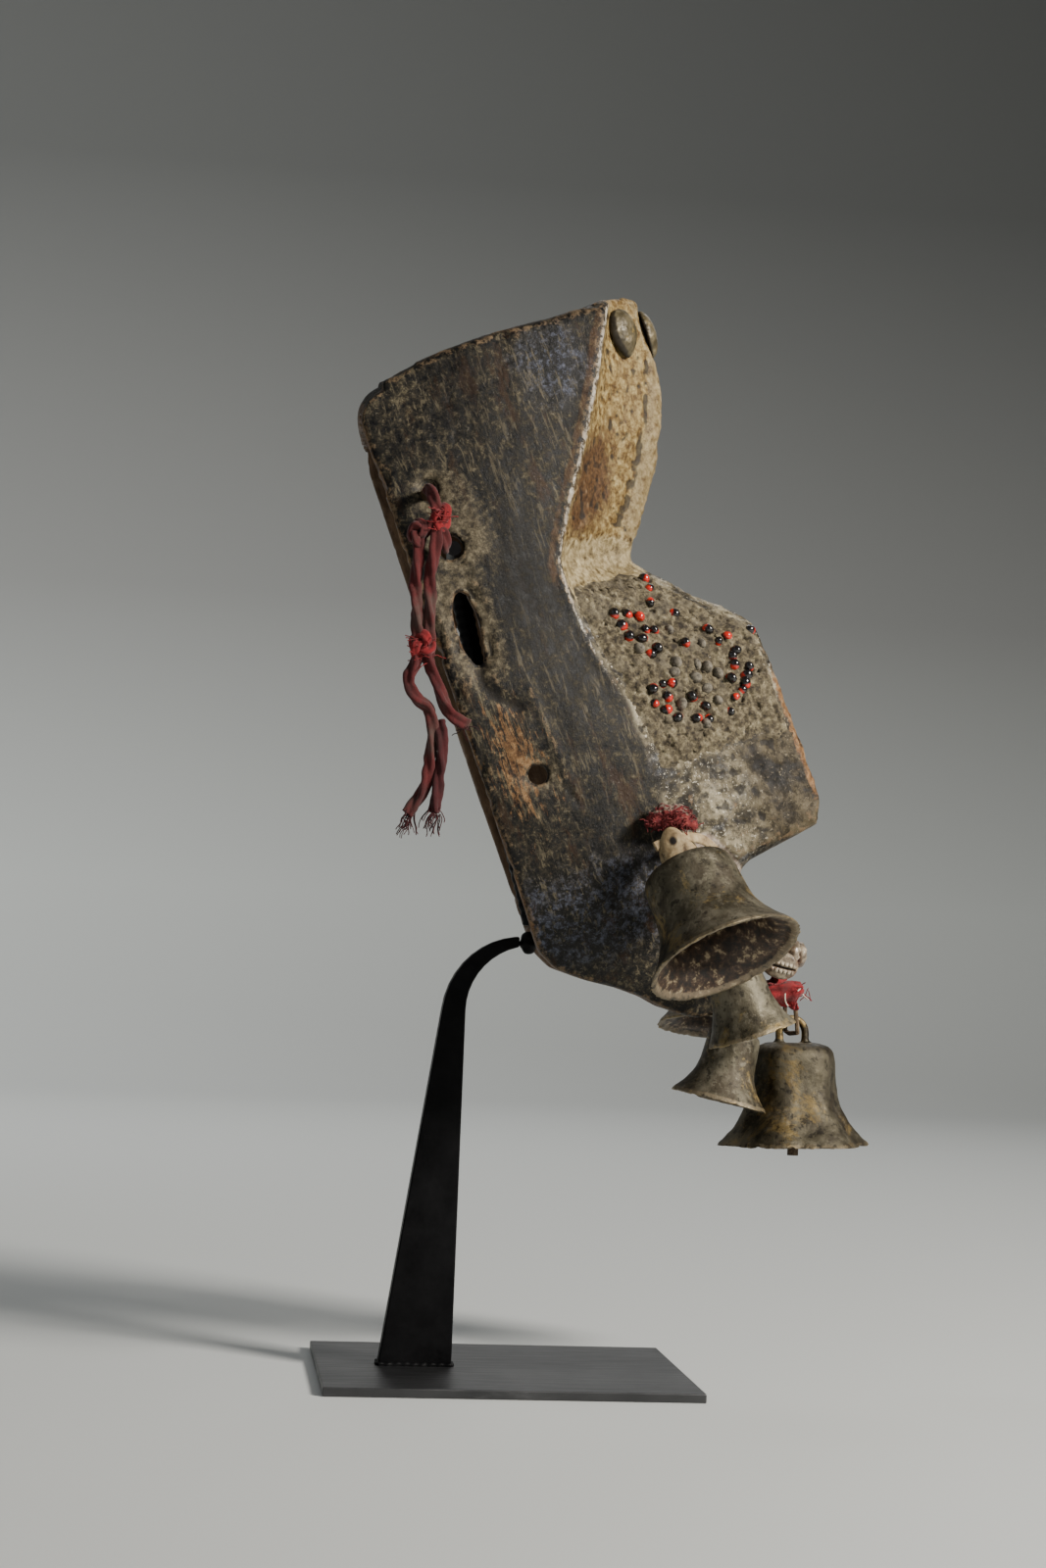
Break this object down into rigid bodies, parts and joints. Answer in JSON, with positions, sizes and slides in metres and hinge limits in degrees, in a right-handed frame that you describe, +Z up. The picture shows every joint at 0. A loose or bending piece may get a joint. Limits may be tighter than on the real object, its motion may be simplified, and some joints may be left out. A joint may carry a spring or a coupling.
{
  "type": "carved face mask on a display stand",
  "caption": "Hollow carved wooden face mask with a long muzzle, hung with cast bells and shells, held upright on a steel display stand.",
  "frame": {"origin": "centre of the base plate's underside, where the stand rests", "axes": "+X the way the face looks, +Y to the far cheek, +Z up"},
  "size_m": [0.2537, 0.2082, 0.4914],
  "materials": {
    "painted_wood": "old paint and dark patina over carved wood, worn to bare brown wood at the edges",
    "plate_steel": "dark brushed steel",
    "black_steel": "black satin paint",
    "bell_bronze": "dull cast bronze with grey green patina, worn to gold at the rim",
    "stud_metal": "dull brass, worn smooth",
    "mud_crust": "rough dried mud with seeds set in it",
    "cowrie_shell": "worn shell",
    "hide": "stiff pale hide",
    "red_cloth": "faded red wool and cotton cloth",
    "clapper_iron": "rusty forged iron"
  },
  "bodies": {
    "root": {"base_plate": "plate_steel", "stand_post": "black_steel", "stand_weld": "black_steel", "stand_spine": "black_steel", "stand_cross_pin": "black_steel", "mask": "painted_wood", "brow_stud_near": "stud_metal", "brow_stud_middle": "stud_metal", "brow_stud_far": "stud_metal", "bell_near_cheek": "bell_bronze", "bell_near_jaw": "bell_bronze", "bell_low_jaw": "bell_bronze", "bell_chin": "bell_bronze", "bell_far_cheek": "bell_bronze", "bell_chin_clapper": "clapper_iron", "seed_crust_near": "mud_crust", "seed_crust_far": "mud_crust", "cowrie_near": "cowrie_shell", "cowrie_middle": "cowrie_shell", "cowrie_far": "cowrie_shell", "hide_strap": "hide", "thong_near_jaw": "hide", "thong_low_jaw": "hide", "thong_far_jaw": "hide", "thong_chin": "hide", "chin_cloth": "red_cloth", "mouth_yarn": "red_cloth", "cord_from_hole": "red_cloth", "cord_to_pin": "red_cloth", "cord_left_strand": "red_cloth", "cord_right_strand": "red_cloth", "cord_loop": "red_cloth", "cord_right_tail": "red_cloth", "cord_tail": "red_cloth", "knot_upper": "red_cloth", "knot_beside": "red_cloth", "knot_middle": "red_cloth"}
  },
  "joints": []
}
